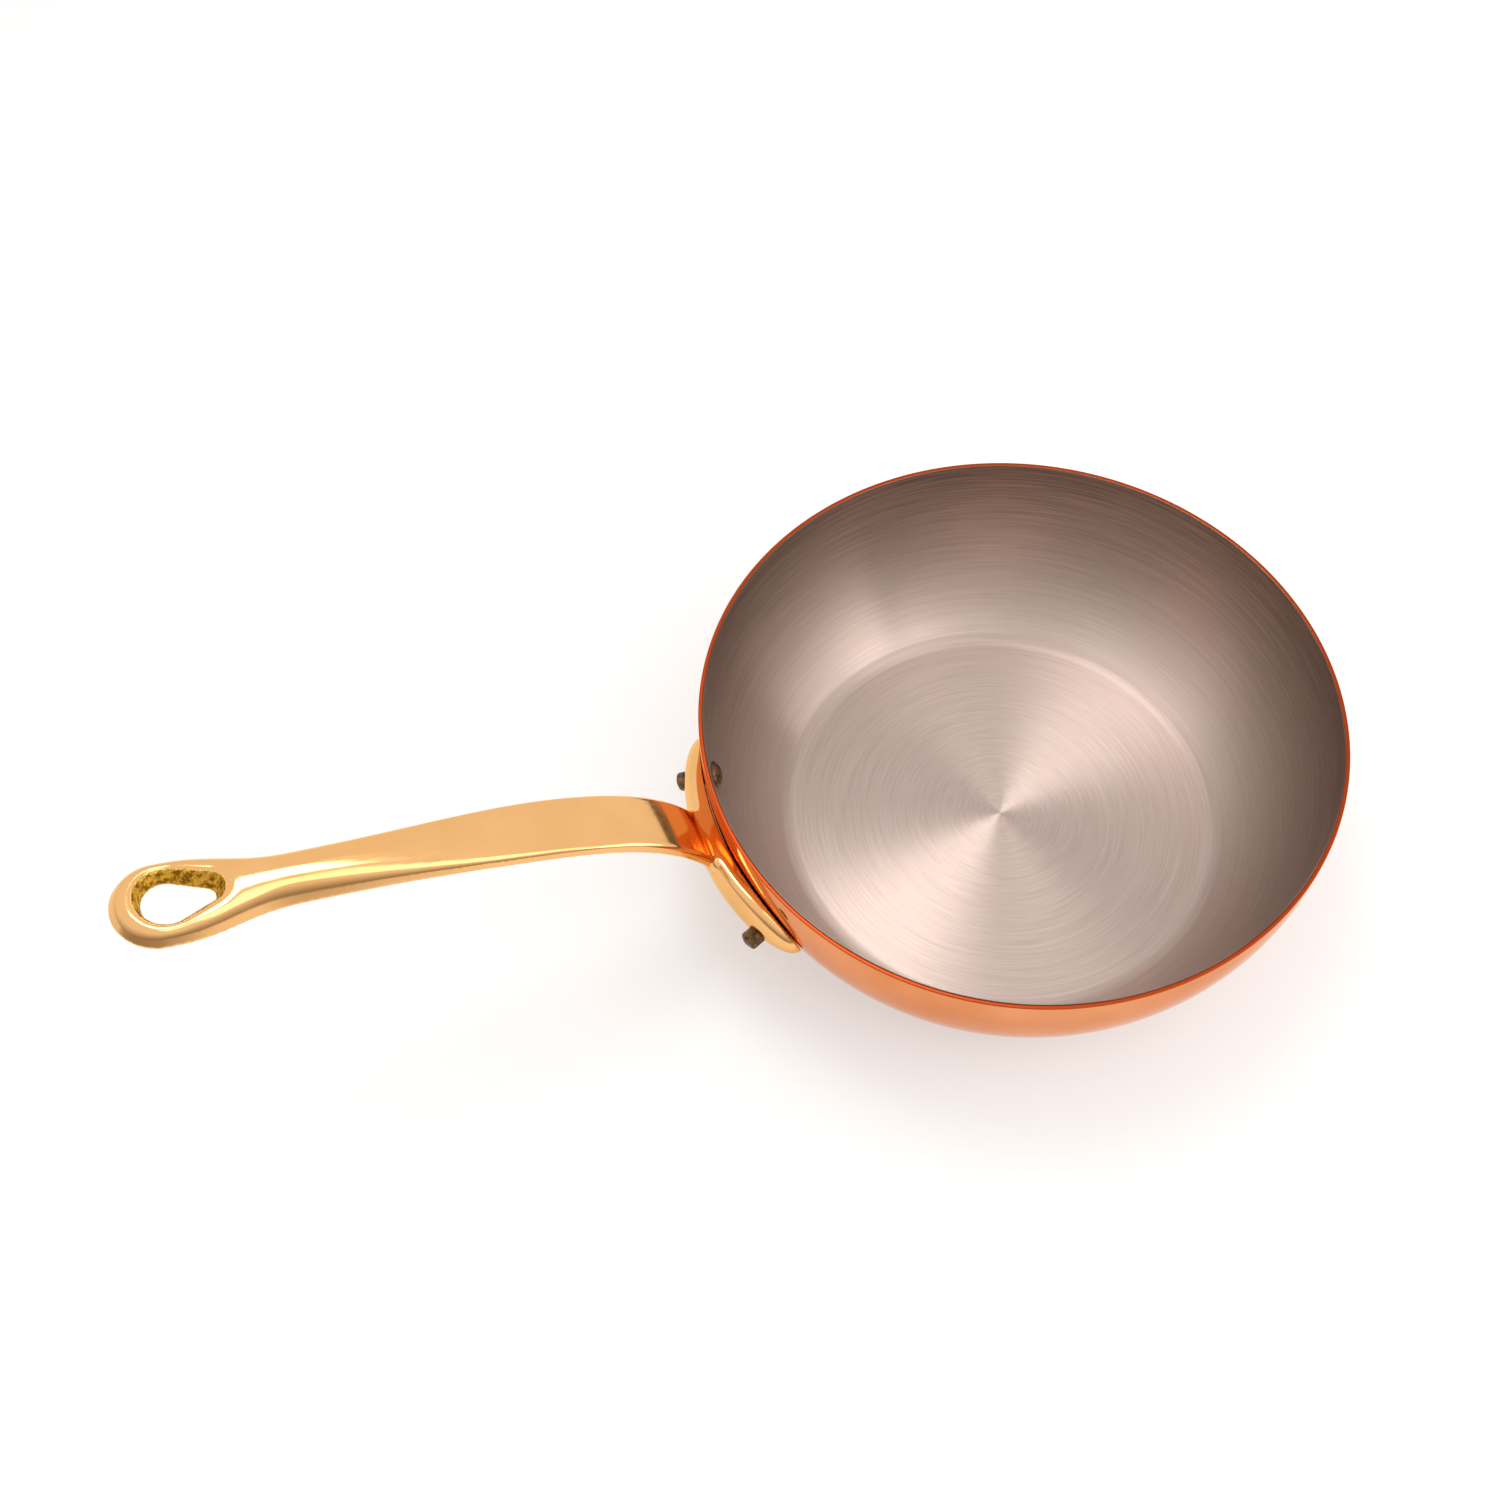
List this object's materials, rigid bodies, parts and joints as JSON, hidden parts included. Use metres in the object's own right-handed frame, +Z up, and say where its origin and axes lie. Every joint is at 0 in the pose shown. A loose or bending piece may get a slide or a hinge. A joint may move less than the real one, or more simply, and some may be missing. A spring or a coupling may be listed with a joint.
{
  "type": "chefs pan",
  "caption": "Open curved-wall cooking pan: polished copper bowl with a brushed steel lining and a long cast brass strap handle with a teardrop hanging eye, riveted below the rim.",
  "frame": {"origin": "centre of the flat outside face of the base", "axes": "+Z up through the open mouth, -X along the handle, Y across it"},
  "size_m": [0.3684, 0.2, 0.1179],
  "materials": {
    "polished_copper": "mirror-polished copper sheet",
    "brushed_lining": "circular-brushed stainless steel",
    "cast_brass": "polished cast brass, left as cast inside the eye",
    "dark_bronze": "darkened bronze rivet stock"
  },
  "bodies": {
    "root": {"copper_shell": "polished_copper", "steel_lining": "brushed_lining", "brass_handle": "cast_brass", "rivet_left": "dark_bronze", "rivet_right": "dark_bronze"}
  },
  "joints": []
}
